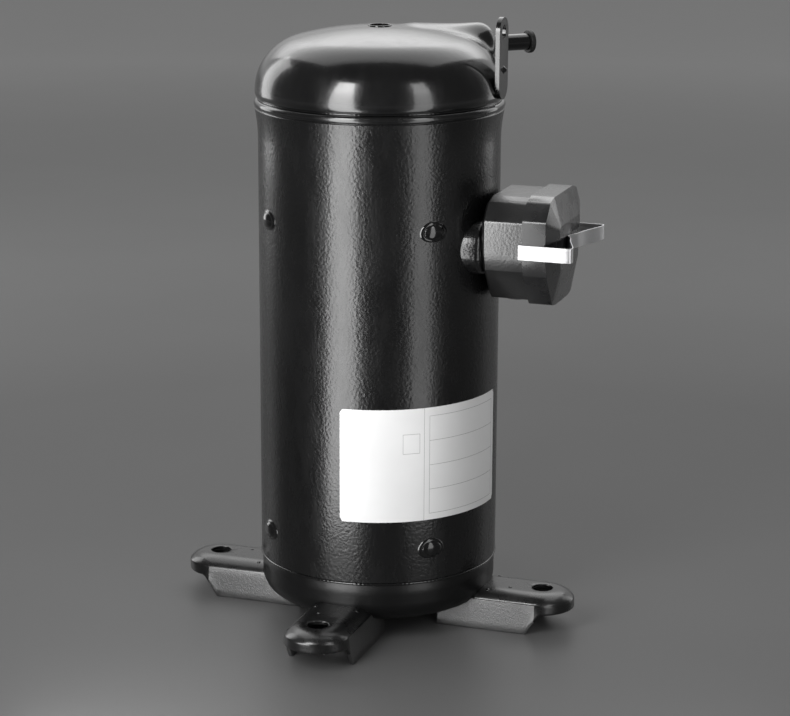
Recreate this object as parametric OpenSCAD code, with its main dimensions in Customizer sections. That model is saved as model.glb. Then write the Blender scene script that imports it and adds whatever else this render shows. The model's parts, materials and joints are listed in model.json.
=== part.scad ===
// Hermetic scroll refrigeration compressor: welded steel shell on four stamped feet,
// with its motor, crankshaft, frames and scroll set inside.
// Origin: shell axis at the seat face of the feet. +Z is up, +X faces the terminal box.

/* [Shell] */
// Outside diameter of the straight part of the shell
shell_od = 184; // [180:1:190]
// Wall of the shell tube
shell_wall = 3.6; // [3:0.1:4.2]
// Height of the lower seam above the seat face of the feet
low_seam_z = 22.4; // [20:0.2:26]
// Height of the upper seam above the seat face of the feet
top_seam_z = 378; // [374:1:390]
// How far the flared mouth of the shell stands out
flare = 3; // [2:0.1:3.6]
// Height of the curve that leads out to the mouth
flare_h = 23.5; // [18:0.5:26]
// Height of the round band at the mouth
band_h = 7; // [6:0.2:8]

/* [Caps] */
// Wall of the pressed caps
cap_wall = 4; // [3:0.1:5]
// How far the side of the top cap stands out past the shell
cap_swell = 2.3; // [1.5:0.1:3]
// Height of the curl between the upper seam and the side of the top cap
cap_curl = 4.6; // [4:0.2:8]
// Knuckle radius of the top cap
cap_knuckle = 42; // [36:1:46]
// Crown radius of the top cap
cap_crown = 249; // [220:1:320]
// How far the side of the bottom cap lies inside the shell's outside
low_cap_inset = 1; // [0.5:0.1:2]
// Knuckle radius of the bottom cap
low_knuckle = 16; // [12:1:20]
// Crown radius of the bottom cap
low_crown = 200; // [190:1:240]
// Gap that the lower seam weld fills
low_seam_gap = 1.6; // [1:0.2:3]
// Gap that the upper seam weld fills
top_seam_gap = 0.8; // [0.6:0.1:1.5]
// How deep the bottom cap reaches up into the shell
low_skirt = 12; // [8:1:14]
// Bore of the sensor well in the middle of the top cap
well_d = 15; // [10:0.5:18]
// Depth of the sensor well
well_depth = 28; // [20:1:32]

/* [Feet] */
// Bolt circle of the foot holes, for a 190.5 mm square
bolt_pcd = 269.4; // [262:0.2:276]
// Bolt hole in each foot
foot_hole_d = 16; // [12:0.5:18]
// Plate thickness of the feet
foot_t = 3; // [2.5:0.1:4]
// Width of a foot across its flanges
foot_w = 49; // [44:1:54]
// Width of the flat top of a foot
foot_flat_w = 21; // [20:1:24]
// Radius of the bend from the flat top to the flanges
foot_bend_r = 18; // [18:0.5:24]
// Depth from the seat face down to the floor
foot_drop = 27.5; // [26.5:0.5:32]
// Distance from the shell axis to the inner end of the flanges
foot_inner = 57; // [52:1:62]
// Distance from the bolt hole out to the centre of the round tip
foot_tip_shift = 0.5; // [0:0.1:6]
// Depth of the lip at the tip below the seat face
foot_lip = 11; // [9:0.5:14]

/* [Lifting lug] */
// Width of the lug
lug_w = 22; // [20:1:26]
// Thickness of the lug
lug_t = 3.5; // [3:0.5:5]
// Height of the lug from its round foot to its round head
lug_h = 61; // [56:1:66]
// Hole in the lug
lug_hole_d = 10; // [8:0.5:12]
// How far the lug's foot stands above the upper seam
lug_lift = 2.5; // [2:0.5:6]

/* [Tubes] */
// Outside diameter of the discharge tube
discharge_od = 12.7; // [9.5:0.1:15.9]
// Depth of the discharge tube's axis below the top of the cap
discharge_drop = 18.7; // [18:0.5:22]
// How far the open end of the discharge tube stands out past the shell
discharge_out = 34; // [28:1:44]
// Radius of the bulge in the top cap round the discharge tube
bulge_r = 17; // [15:0.5:18]
// How far the bulge stands out past the shell
bulge_out = 3; // [1:1:8]
// Outside diameter of the suction tube
suction_od = 22.2; // [19:0.1:25.4]
// Height of the suction tube's axis above the seat face
suction_z = 245; // [240:1:250]
// How far the open end of the suction tube stands out past the shell
suction_out = 32; // [24:1:42]
// Wall of both tubes
tube_wall = 1.3; // [1:0.1:2]
// Flange of the discharge tube's plug beyond the tube, all round
plug_rim = 2.4; // [1.5:0.1:4]
// Flange thickness of the transport plugs
plug_t = 3.7; // [2:0.1:5]
// Length of the transport plugs inside the tubes
plug_stem = 14; // [8:1:18]

/* [Terminal box] */
// Height of the terminal box's axis above the seat face
box_z = 274; // [273:0.5:275]
// Width of the cover
box_w = 96; // [92:1:100]
// Height of the cover
box_h = 83; // [80:1:88]
// How far the face of the weld-on pad stands out past the shell
pad_out = 3; // [2.5:0.1:4]
// Width of the weld-on pad round the shell
pad_w = 92; // [86:1:96]
// Height of the weld-on pad
pad_h = 40; // [38:0.5:44]
// Distance from the pad's face to the rear edge of the cover
box_depth = 32; // [29:0.5:35]
// Distance from the rear edge of the cover to the front edge of its side
cover_depth = 18; // [16:0.5:23]
// How far the cover's front face stands in front of that edge
cover_bevel = 5.5; // [3:0.5:7]
// Wall of the cover
cover_wall = 2; // [1.6:0.1:2.6]
// Sheet thickness of the box that the cover closes
fence_t = 2; // [1.5:0.1:2.5]
// Depth of the channel that the clip lies in
channel_d = 6.5; // [5:0.1:7]
// Height of the channel that the clip lies in
channel_h = 13.5; // [13:0.5:20]
// Gasket thickness
gasket_t = 2.5; // [1.5:0.1:3]
// Width of the clip's strap
clip_w = 11; // [9:0.5:13]
// Thickness of the clip's strap
clip_t = 0.8; // [0.6:0.1:1.2]
// How far the two loops of the clip stand in front of the cover
clip_loop = 14.5; // [12:0.5:20]
// Height of the clip above the box's axis
clip_rise = 3; // [1:0.5:5]
// Radius of the steel cup of the hermetic terminal
cup_r = 16; // [15.5:0.5:17]
// Radius of the terminal pins
pin_r = 3.2; // [2.5:0.1:4]
// Radius of the circle that the three pins stand on
pin_circle_r = 9; // [8:0.5:10]
// Hole for the cable in the bottom of the box
cable_hole_d = 18; // [14:1:20]

/* [Name plate] */
// Height of the bare label
label_h = 87.5; // [70:0.5:100]
// Height of the label's lower edge above the seat face
label_z = 71; // [66:1:80]
// Angle that the label covers round the shell
label_turn = 90; // [60:1:100]
// Thickness of the label
label_t = 0.25; // [0.2:0.05:0.4]

/* [Motor] */
// Height of the stator's lower face above the seat face
stator_z = 92.5; // [91:0.5:96]
// Length of the stator and rotor stacks
stack_len = 100; // [90:1:103]
// Bore of the stator
stator_bore = 94; // [90:1:98]
// Number of stator slots
slot_count = 24; // [18:6:30]
// Air gap between rotor and stator
air_gap = 0.5; // [0.4:0.1:1]
// Height of each end winding
end_turn_h = 25; // [20:1:27]
// Number of rotor bars
bar_count = 28; // [20:2:34]
// Height of the rotor's end rings
end_ring_h = 8; // [6:1:9]
// Height of each counterweight
weight_h = 11; // [8:1:12]

/* [Crankshaft and frames] */
// Diameter of the main journal
shaft_d = 30; // [26:1:32]
// Diameter of the lower journal
low_journal_d = 20; // [16:1:22]
// Diameter of the crank pin
crank_pin_d = 18; // [14:1:19]
// Running clearance of every journal, on the radius
running = 0.05; // [0.03:0.01:0.08]
// Wall of the bearing bushes
bush_wall = 3; // [2:0.5:3.5]
// Height of the lower plug welds above the seat face
low_weld_z = 48; // [47:0.5:52]
// Height of the upper plug welds above the seat face
top_weld_z = 291.2; // [290:0.5:293]
// Thickness of the frames' arms
arm_t = 16; // [14:0.5:17]
// Width of the frames' arms
arm_w = 28; // [24:1:34]
// Length of the main bearing
main_bearing_len = 40; // [34:1:46]
// Gap between the main frame's rim and the shell
rim_gap = 6.4; // [4.4:0.1:7.4]

/* [Scroll set] */
// Base circle radius of the involutes
inv_a = 2.4; // [2.3:0.02:2.5]
// Wall thickness of the wraps
wrap_t = 4; // [3.6:0.1:4.4]
// Height of the wraps
wrap_h = 22; // [18:1:26]
// Gap between the flanks of the two wraps
flank_gap = 0.15; // [0.12:0.01:0.3]
// Gap over the tips of the wraps
tip_gap = 0.1; // [0.05:0.05:0.2]
// Angle where the wraps start
wrap_start = 170; // [160:5:200]
// Angle where the wraps end
wrap_end = 1300; // [1200:10:1320]
// Plate thickness of the orbiting scroll
orbit_plate_t = 10; // [9:0.5:12]
// Plate thickness of the fixed scroll
fixed_plate_t = 12; // [10:0.5:13]
// Thickness of the thrust plate
thrust_t = 3; // [2.6:0.1:4]
// Width of the coupling ring's keys
key_w = 8; // [6:0.5:10]
// Lift of the check valve
valve_lift = 3; // [2:0.5:4]
// Radius of the discharge port
port_r = 5; // [4:0.5:5.5]
// Number of bolts that hold the fixed scroll
bolt_count = 6; // [4:1:8]

/* [Hidden] */
$fn = 96;
// A small overlap that keeps cutters clear of the faces that they cut
eps = 0.1;
shell_r = shell_od / 2;
bore_r = shell_r - shell_wall;
mouth_r = bore_r + flare;
floor_z = -foot_drop;

// Top cap: the side, and the crown's centre from the tangent between knuckle and crown
cap_r = shell_r + cap_swell;
cap_seat_z = top_seam_z + top_seam_gap;
cap_side_z = cap_seat_z + cap_curl;
cap_lip = 0.5;
cap_fit = 0.1;
cap_skirt_r = mouth_r - cap_fit;
cap_knuckle_x = cap_r - cap_knuckle;
crown_z = cap_side_z - sqrt(pow(cap_crown - cap_knuckle, 2) - pow(cap_knuckle_x, 2));
dome_z = crown_z + cap_crown;
well_wall = 1.5;
well_rim = 0.6;

// Bottom cap
low_cap_r = shell_r - low_cap_inset;
low_side_z = low_seam_z - low_seam_gap;
low_cap_z = floor_z + 1;
low_crown_z = low_cap_z + low_crown;
low_knuckle_x = low_cap_r - low_knuckle;
low_knuckle_z = low_crown_z - sqrt(pow(low_crown - low_knuckle, 2) - pow(low_knuckle_x, 2));

// Feet
bolt_r = bolt_pcd / 2;
tip_x = bolt_r + foot_tip_shift;
flange_end_x = bolt_r - 6.2;
flange_rise_x = bolt_r + 4.3;

// Lug
nub_rise = 22;
lug_z = cap_seat_z + lug_lift;
lug_top = lug_z + lug_h;
lug_in = cap_r - 0.6;

// Plug welds
plug_hole_r = 5.5;
weld_r = 10.9;
weld_proud = 3.2;
weld_bite = 4;

// Label: its far edge lies this many degrees past the box's axis
label_end = 1;

// Tubes
discharge_z = dome_z - discharge_drop;
discharge_reach = shell_r + discharge_out;
suction_reach = shell_r + suction_out;
bulge_reach = shell_r + bulge_out;
bulge_round = 12;
bulge_start = 20;
diagonal = 45;
collar_t = 1.8;
collar_out = 4;
tube_in = 4;

// Terminal box: outline of the cover as half points, shares of its half width and half height
half_w = box_w / 2;
half_h = box_h / 2;
outline = [[0.6, 1], [0.8, 0.94], [1, 0.68], [1, -0.14], [0.93, -0.42], [0.58, -0.97], [0.42, -1]];
front_outline = [[0.59, 0.48], [0.52, -0.34]];
corner_r = 4;
fit = 0.15;
pad_reach = shell_r + pad_out;
cover_back = pad_reach + box_depth;
cover_front = cover_back + cover_depth + cover_bevel;
bevel_z = cover_front - cover_bevel;
channel_floor = cover_front - channel_d;
cover_inner = channel_floor - cover_wall;
gasket_w = 5;
rest_gap = 0.05;
fence_rim = cover_inner - gasket_t - rest_gap;
fence_round = 2.5;
pocket_in = 2;
boss_w = 26;
boss_drop = 1.5;
cup_t = 1.5;
cup_depth = 12;
glass_r = pin_r + 2;
pin_in = 12;
pin_out = 12;
connector_r = 13;
connector_x = 62;
lead_r = 1.8;
lead_pitch = 7;
cup_back = pad_reach - cup_depth;

// Motor
stator_top = stator_z + stack_len;
stator_r = stator_bore / 2;
rotor_r = stator_r - air_gap;
tooth_tip = 2.2;
slot_in = stator_r + tooth_tip;
slot_len = 22;
slot_fill = 0.25;
slot_mouth = 3;
bar_r = 2.3;
bar_circle = rotor_r - bar_r - 1.2;
end_gap = 0.3;
turn_in = stator_r + 3;
turn_out = slot_in + slot_len + 4;
flat_cut = 2;

// Running parts: heights of the stack from the main frame up
shaft_r = shaft_d / 2;
low_journal_r = low_journal_d / 2;
crank_pin_r = crank_pin_d / 2;
orbit = PI * inv_a - wrap_t - flank_gap;
frame_low_z = top_weld_z - arm_t / 2;
web_top = frame_low_z + arm_t + 0.8;
web_t = 12;
web_z = web_top - web_t;
bearing_top = web_z - 12;
bearing_low = bearing_top - main_bearing_len;
sleeve_wall = 8;
drive_r = crank_pin_r + running + bush_wall + 1;
orbit_bush_r = drive_r + running + bush_wall;
hub_r = orbit_bush_r + 4;
hub_gap = 0.6;
cavity_r = hub_r + orbit + hub_gap;
cavity_z = bearing_top + 1;
plate_z = web_top + thrust_t + running;
wrap_z = plate_z + orbit_plate_t;
fixed_z = wrap_z + wrap_h + tip_gap;
fixed_top = fixed_z + fixed_plate_t;
orbit_plate_r = inv_a * (wrap_end * PI / 180) + wrap_t + 3.5;
ring_in = 53;
ring_out = orbit_plate_r + 4;
ring_low = web_top + 0.2;
ring_top = plate_z - 0.2;
key_len = 10;
key_h = 5;
key_x = (ring_in + ring_out) / 2;
pocket_r = ring_out + orbit + 0.6;
thrust_out = ring_in - orbit - 0.9;
rim_top = plate_z + orbit_plate_t + 3;
rim_low = web_z + 4;
rim_r = bore_r - rim_gap;
scroll_bolt_r = 3;
bolt_fit = 0.1;
bolt_bite = 14;
scroll_bolt_circle = (pocket_r + rim_r) / 2;
boss_in = 30;
boss_out = 36;
boss_h = 11;
separator_t = 4;
separator_z = fixed_top + 6;
seat_h = 2;
valve_r = port_r + 4;
valve_t = 1.2;
valve_z = fixed_top + seat_h + rest_gap;
stop_z = valve_z + valve_t + valve_lift + rest_gap;
stop_t = 3;
stop_span = 18;
low_frame_z = low_weld_z - arm_t / 2;
low_hub_r = 22;
low_hub_h = arm_t + 8;
washer_t = 3;
pickup_r = 6;
oil_bore_r = 2.2;
pickup_gap = 14;
pickup_z = floor_z + pickup_gap;
low_cone_in = 40;
low_cone_out = bore_r - 10.4;
crank_end_z = plate_z - 1.5;
pin_low_z = cavity_z + 2.4;

// Turns a shape that is drawn in Y and Z, so that its height runs along +X from x
module along_x(x, z) {
    translate([x, 0, z]) rotate([90, 0, 90]) children();
}

// Points on an elliptic quarter from the side (r, z) up to (r - w, z + h)
function quarter(r, z, w, h, n) = [
    for (i = [0 : n])
        [r - w * (1 - cos(90 * i / n)), z + h * sin(90 * i / n)]
];

// Points on an arc round a centre, its angles counted from the X axis
function arc(centre, radius, start, end, n) = [
    for (i = [0 : n])
        centre + radius * [
            cos(start + (end - start) * i / n), sin(start + (end - start) * i / n)
        ]
];

// Ring between two radii
module ring(r_in, r_out, z, h) {
    translate([0, 0, z]) difference() {
        cylinder(r = r_out, h = h);
        translate([0, 0, -eps]) cylinder(r = r_in, h = h + 2 * eps);
    }
}

// Shell

// The curve of the flared mouth, from the straight wall up to the band
function flare_points(r, out, n) = [
    for (i = [0 : n])
        [r + out * pow(i / n, 2), top_seam_z - band_h - flare_h * (1 - i / n)]
];

module shell_profile() {
    steps = 8;
    band_z = top_seam_z - band_h;
    inner = flare_points(bore_r, flare, steps);
    band = arc([shell_r + flare - band_h / 2, band_z + band_h / 2], band_h / 2, -48, 72, 8);
    polygon(concat(
        [[bore_r, low_seam_z], [shell_r, low_seam_z]],
        flare_points(shell_r, flare - 0.5, steps),
        [[shell_r + flare - 1.2, band_z + 0.4]],
        band,
        [[shell_r + cap_lip, top_seam_z], [mouth_r, top_seam_z]],
        [for (i = [steps : -1 : 0]) inner[i]]
    ));
}

// The eight places where welds join the shell to the frames
module at_plug_welds() {
    for (z = [low_weld_z, top_weld_z])
        for (a = [45 : 90 : 315])
            rotate([0, 0, a]) translate([0, 0, z]) rotate([0, 90, 0]) children();
}

module shell_tube() {
    color("#17181a") difference() {
        rotate([0, 0, 22.5]) rotate_extrude() shell_profile();
        at_plug_welds() translate([0, 0, bore_r - 2])
            cylinder(r = plug_hole_r, h = shell_wall + 4);
        along_x(0, box_z) cylinder(r = cup_r + cup_t, h = shell_od);
        rotate([0, 0, 135]) along_x(0, suction_z)
            cylinder(r = suction_od / 2 + collar_t, h = shell_od);
    }
}

// Caps

// Half outline of the top cap: its outer skin, or its inner skin at an inset
module top_outline(inset) {
    lean = atan2(cap_side_z - crown_z, cap_knuckle_x);
    skirt_r = cap_skirt_r - inset;
    seat = inset > 0 ? skirt_r : shell_r + cap_lip;
    low_z = top_seam_z - band_h - (inset > 0 ? eps : 0);
    curl = quarter(cap_r - inset, cap_side_z, cap_r - inset - seat, -cap_curl, 6);
    polygon(concat(
        arc([0, crown_z], cap_crown - inset, 90, lean, 9),
        arc([cap_knuckle_x, cap_side_z], cap_knuckle - inset, lean * 11 / 12, 0, 11),
        [for (i = [1 : 6]) curl[i]],
        [[skirt_r, cap_seat_z], [skirt_r, low_z], [0, low_z]]
    ));
}

// The fairing round the discharge tube, or its hollow at an inset
module bulge(inset) {
    round_r = bulge_round - inset;
    flat_r = bulge_r - bulge_round;
    length = bulge_reach - bulge_start;
    rotate([0, 0, diagonal]) translate([bulge_start, 0, discharge_z]) rotate([0, 90, 0])
        rotate_extrude() polygon(concat(
            [[0, 0], [bulge_r - inset, 0]],
            arc([flat_r, length - bulge_round], round_r, 0, 90, 6),
            [[0, length - inset]]
        ));
}

module top_cap() {
    color("#17181a") difference() {
        union() {
            rotate_extrude() top_outline(0);
            bulge(0);
        }
        rotate_extrude() top_outline(cap_wall);
        bulge(cap_wall);
        rotate([0, 0, diagonal]) along_x(0, discharge_z) cylinder(d = discharge_od, h = shell_od);
        translate([0, 0, dome_z - well_depth]) cylinder(r = well_d / 2 + well_wall, h = shell_od);
    }
}

// Half outline of the bottom cap: its outer skin, or its inner skin at an inset
module low_outline(inset) {
    lean = atan2(low_crown_z - low_knuckle_z, low_knuckle_x);
    side_r = low_cap_r - inset;
    skirt_r = bore_r - cap_fit - inset;
    shoulder_z = low_side_z - inset;
    skirt_z = low_seam_z + low_skirt + (inset > 0 ? eps : 0);
    polygon(concat(
        arc([0, low_crown_z], low_crown - inset, -90, -lean, 9),
        arc([low_knuckle_x, low_knuckle_z], low_knuckle - inset, -lean * 7 / 8, 0, 7),
        [[side_r, shoulder_z], [skirt_r, shoulder_z], [skirt_r, skirt_z], [0, skirt_z]]
    ));
}

module bottom_cap() {
    color("#17181a") difference() {
        rotate_extrude() low_outline(0);
        rotate_extrude() low_outline(cap_wall);
    }
}

module seam_welds() {
    bead = 0.5;
    color("#2a2b2d") {
        rotate_extrude() translate([bore_r, low_side_z]) {
            square([shell_wall, low_seam_gap]);
            intersection() {
                translate([shell_wall + bead - low_seam_gap, low_seam_gap / 2]) circle(r = low_seam_gap);
                square([shell_wall + bead, low_seam_gap]);
            }
        }
        rotate_extrude() translate([mouth_r, top_seam_z])
            square([shell_r + cap_lip - mouth_r, top_seam_gap]);
    }
}

module frame_plug_welds() {
    half = acos((weld_r - weld_proud - 2) / weld_r);
    color("#1c1d1f") {
        at_plug_welds() translate([0, 0, bore_r - weld_bite])
            cylinder(r = plug_hole_r, h = shell_wall + weld_bite + 1);
        difference() {
            at_plug_welds() translate([0, 0, shell_r + weld_proud - weld_r]) rotate_extrude()
                polygon(concat(
                    arc([0, 0], weld_r, 90 - half, 90, 6), [[0, weld_r - weld_proud - 2]]
                ));
            translate([0, 0, floor_z]) cylinder(r = shell_r, h = 2 * shell_od);
        }
    }
}

// Feet

// Right half of a foot's cross-section: its outer skin, or its inner skin at an inset
module foot_half(inset) {
    depth = 2 * foot_drop;
    flat = foot_flat_w / 2;
    intersection() {
        translate([0, -depth]) square([foot_w / 2 - inset, depth + foot_t]);
        union() {
            translate([0, -depth]) square([flat, depth + foot_t - inset]);
            translate([flat, foot_t - foot_bend_r]) circle(r = foot_bend_r - inset);
            translate([0, -depth]) square([foot_w / 2, depth + foot_t - foot_bend_r]);
        }
    }
}

module foot_form(inset, start) {
    along_x(start, 0) linear_extrude(tip_x - start) {
        foot_half(inset);
        mirror([1, 0]) foot_half(inset);
    }
    translate([tip_x, 0, 0]) rotate([0, 0, -90]) rotate_extrude(angle = 180) foot_half(inset);
}

module foot() {
    far = tip_x + foot_w;
    color("#17181a") difference() {
        foot_form(0, foot_inner);
        foot_form(foot_t, foot_inner - 1);
        translate([0, 0, floor_z - shell_od]) cube([2 * shell_od, shell_od, 2 * shell_od], center = true);
        translate([0, foot_w, 0]) rotate([90, 0, 0]) linear_extrude(2 * foot_w) polygon([
            [flange_end_x, floor_z - 1], [flange_end_x, floor_z], [flange_rise_x, -foot_lip],
            [far, -foot_lip], [far, floor_z - 1]
        ]);
        rotate_extrude() low_outline(0);
        translate([bolt_r, 0, -foot_t]) cylinder(d = foot_hole_d, h = 3 * foot_t);
    }
}

module foot_right() {
    foot();
}

module foot_back() {
    rotate([0, 0, 90]) foot();
}

module foot_left() {
    rotate([0, 0, 180]) foot();
}

module foot_front() {
    rotate([0, 0, 270]) foot();
}

// Lug, well, tubes, plugs and label

module lifting_lug() {
    nub_z = lug_z + nub_rise;
    color("#2b2c2e") difference() {
        union() {
            along_x(lug_in, lug_z) linear_extrude(lug_t) {
                translate([0, lug_w / 2]) circle(d = lug_w);
                translate([0, lug_h - lug_w / 2]) circle(d = lug_w);
                translate([-lug_w / 2, lug_w / 2]) square([lug_w, lug_h - lug_w]);
            }
            along_x(lug_in + lug_t, nub_z) cylinder(r1 = 3, r2 = 0.6, h = 2.4);
        }
        rotate_extrude() top_outline(0);
        along_x(0, lug_top - lug_w / 2) cylinder(d = lug_hole_d, h = shell_od);
    }
}

module sensor_well() {
    color("#2b2c2e") translate([0, 0, dome_z - well_depth]) difference() {
        cylinder(r = well_d / 2 + well_wall, h = well_depth + well_rim);
        translate([0, 0, well_wall]) cylinder(d = well_d, h = well_depth);
    }
}

module tube(od, start, end) {
    difference() {
        along_x(start, 0) cylinder(d = od, h = end - start);
        along_x(start - eps, 0) cylinder(d = od - 2 * tube_wall, h = end - start + 2 * eps);
    }
}

module plug(od, end, rim) {
    along_x(end + rest_gap, 0) cylinder(r = od / 2 + rim, h = plug_t);
    along_x(end - plug_stem, 0) cylinder(r = od / 2 - tube_wall - running, h = plug_stem + plug_t);
}

module discharge_tube() {
    color("#202123") translate([0, 0, discharge_z]) rotate([0, 0, diagonal])
        tube(discharge_od, bulge_reach - cap_wall - 8, discharge_reach);
}

module discharge_plug() {
    color("#161616") translate([0, 0, discharge_z]) rotate([0, 0, diagonal])
        plug(discharge_od, discharge_reach, plug_rim);
}

// The suction tube has a welded collar where it goes through the shell
module suction_tube() {
    start = bore_r - tube_in;
    color("#202123") translate([0, 0, suction_z]) rotate([0, 0, 135]) difference() {
        union() {
            along_x(start, 0)
                cylinder(r = suction_od / 2 + collar_t, h = shell_r + collar_out - start);
            along_x(bore_r, 0) cylinder(d = suction_od, h = suction_reach - bore_r);
        }
        along_x(0, 0) cylinder(d = suction_od - 2 * tube_wall, h = 2 * shell_od);
    }
}

module suction_plug() {
    color("#161616") translate([0, 0, suction_z]) rotate([0, 0, 135])
        plug(suction_od, suction_reach, -tube_wall / 3);
}

module name_label() {
    color("#ececec") translate([0, 0, label_z]) rotate([0, 0, label_end - label_turn])
        rotate_extrude(angle = label_turn) translate([shell_r + rest_gap, 0]) square([label_t, label_h]);
}

// Terminal box

// Closed outline of the box, grown or shrunk by a margin
module box_outline(points, margin) {
    hull() for (p = points)
        for (side = [-1, 1])
            translate([
                side * (p[0] * half_w + margin - corner_r),
                p[1] * half_h + sign(p[1]) * (margin - corner_r)
            ]) circle(r = corner_r, $fn = 32);
}

// Flat outline of the pad: half rounds joined by straight edges
module pad_outline(margin) {
    hull() for (side = [-1, 1])
        translate([side * (pad_w - pad_h) / 2, 0]) circle(r = pad_h / 2 + margin, $fn = 48);
}

// The pressed pad between the shell and the box, with a round edge
module terminal_pad() {
    edge = 5;
    steps = 4;
    color("#17181a") difference() {
        hull() {
            along_x(0, box_z) linear_extrude(pad_reach - edge) pad_outline(0);
            for (i = [1 : steps])
                along_x(0, box_z)
                    linear_extrude(pad_reach - edge + edge * sin(90 * i / steps))
                        pad_outline(edge * (cos(90 * i / steps) - 1));
        }
        translate([0, 0, box_z - 2 * pad_w]) cylinder(r = shell_r, h = 4 * pad_w);
        along_x(0, box_z) cylinder(r = cup_r + cup_t + rest_gap, h = shell_od);
    }
}

module terminal_fence() {
    lining = fit + cover_wall;
    color("#26272a") difference() {
        hull() {
            along_x(pad_reach, box_z) linear_extrude(fence_t)
                box_outline(outline, -lining - fence_round);
            along_x(pad_reach + fence_round, box_z)
                linear_extrude(fence_rim - pad_reach - fence_round) box_outline(outline, -lining);
        }
        along_x(pad_reach + fence_t, box_z) linear_extrude(shell_r)
            box_outline(outline, -lining - fence_t);
        along_x(0, box_z) cylinder(r = cup_r + cup_t + rest_gap, h = shell_od);
        translate([(pad_reach + cover_back) / 2, 0, box_z - box_h]) cylinder(d = cable_hole_d, h = box_h);
    }
}

module hermetic_terminal() {
    color("silver") difference() {
        along_x(cup_back, box_z) cylinder(r = cup_r + cup_t, h = cup_depth + fence_t);
        along_x(cup_back + 3, box_z) cylinder(r = cup_r, h = shell_od);
        at_pins() cylinder(r = glass_r, h = shell_od);
    }
}

module at_pins() {
    for (a = [90, 210, 330])
        translate([0, 0, box_z]) rotate([a, 0, 0]) translate([0, pin_circle_r, 0])
            rotate([0, 90, 0]) children();
}

module terminal_glass() {
    color("#4a6a58") difference() {
        at_pins() translate([0, 0, cup_back]) cylinder(r = glass_r, h = 3);
        at_pins() cylinder(r = pin_r, h = shell_od);
    }
}

module terminal_pins() {
    color("#c9a46a") at_pins() translate([0, 0, cup_back - pin_in])
        cylinder(r = pin_r, h = pin_in + cup_depth + pin_out);
}

module earth_screw() {
    color("silver") translate([pad_reach + fence_t, 0, box_z]) rotate([0, 90, 0])
        translate([0, -half_w * 0.62, 0]) {
            cylinder(r = 4.2, h = 3.2);
            cylinder(r = 2.2, h = 9);
            translate([0, 0, 6]) cylinder(r = 4.2, h = 3, $fn = 6);
        }
}

module cable_grommet() {
    wall_z = box_z - half_h + fit + cover_wall;
    bore = cable_hole_d / 2 - 2.5;
    color("#161616") translate([(pad_reach + cover_back) / 2, 0, wall_z]) rotate_extrude() {
        translate([bore, -2]) square([cable_hole_d / 2 - 0.05 - bore, fence_t + 4]);
        translate([bore, -2.05]) square([cable_hole_d / 2 + 2 - bore, 2]);
        translate([bore, fence_t + 0.05]) square([cable_hole_d / 2 + 2 - bore, 2]);
    }
}

module cover_gasket() {
    lining = fit + cover_wall;
    color("#101010") along_x(cover_inner - gasket_t, box_z) linear_extrude(gasket_t) difference() {
        box_outline(outline, -lining);
        box_outline(outline, -lining - gasket_w);
    }
}

// The channel across the cover's front, grown by a margin
module cover_channel(margin) {
    translate([channel_floor - margin, -box_w, box_z + clip_rise - channel_h / 2 - margin])
        cube([box_w, 2 * box_w, channel_h + 2 * margin]);
}

module terminal_cover() {
    inner = gasket_w + cover_wall;
    color("#1b1c1e") {
        difference() {
            hull() {
                along_x(cover_back, box_z) linear_extrude(bevel_z - cover_back)
                    box_outline(outline, 0);
                along_x(cover_back, box_z) linear_extrude(cover_front - cover_back)
                    box_outline(front_outline, 0);
            }
            along_x(cover_back - eps, box_z) linear_extrude(cover_inner - cover_back + eps)
                box_outline(outline, -cover_wall);
            difference() {
                hull() {
                    along_x(cover_inner - eps, box_z) linear_extrude(pocket_in)
                        box_outline(outline, -inner);
                    along_x(cover_inner - eps, box_z)
                        linear_extrude(cover_front - cover_wall - cover_inner)
                            box_outline(front_outline, -cover_wall);
                }
                cover_channel(cover_wall);
            }
            cover_channel(0);
        }
        translate([channel_floor - 1, -boss_w / 2, box_z + clip_rise - channel_h / 2 - 1])
            cube([cover_front - channel_floor + 1 - boss_drop, boss_w, channel_h + 2]);
    }
}

// Spring clip: a flat strap with two legs, two loops and a valley that presses on the cover
module cover_clip() {
    leg_y = half_w + rest_gap + clip_t / 2;
    back_x = cover_back - 2.4;
    loop_x = cover_front + clip_loop - clip_t / 2;
    valley_x = cover_front - boss_drop + rest_gap + clip_t / 2;
    color("#d8d9db") translate([0, 0, box_z + clip_rise - clip_w / 2]) linear_extrude(clip_w)
        for (side = [-1, 1]) scale([1, side])
            strap([
                [back_x, leg_y], [loop_x - 1.5, leg_y], [loop_x, leg_y - 1.2],
                [loop_x - 1.2, leg_y - 3.4], [valley_x + 3, channel_h / 2],
                [valley_x + 0.8, 3.6], [valley_x, 0]
            ]);
}

// A bent strip of constant thickness along a list of points
module strap(points) {
    for (i = [0 : len(points) - 2])
        hull() {
            translate(points[i]) circle(r = clip_t / 2, $fn = 16);
            translate(points[i + 1]) circle(r = clip_t / 2, $fn = 16);
        }
}

module lead_connector() {
    color("#e6dfc8") difference() {
        along_x(connector_x, box_z) cylinder(r = connector_r, h = cup_back - 1 - connector_x);
        at_pins() cylinder(r = pin_r + running, h = shell_od);
    }
}

module motor_leads() {
    bottom = stator_top + end_gap + end_turn_h;
    color("#8a2f2a") for (y = [-lead_pitch, 0, lead_pitch]) {
        near = max(abs(y) - lead_r, 0);
        top = box_z - sqrt(pow(connector_r, 2) - pow(near, 2));
        translate([connector_x + 2 + lead_r, y, bottom]) cylinder(r = lead_r, h = top - bottom);
    }
}

// Motor

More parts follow.
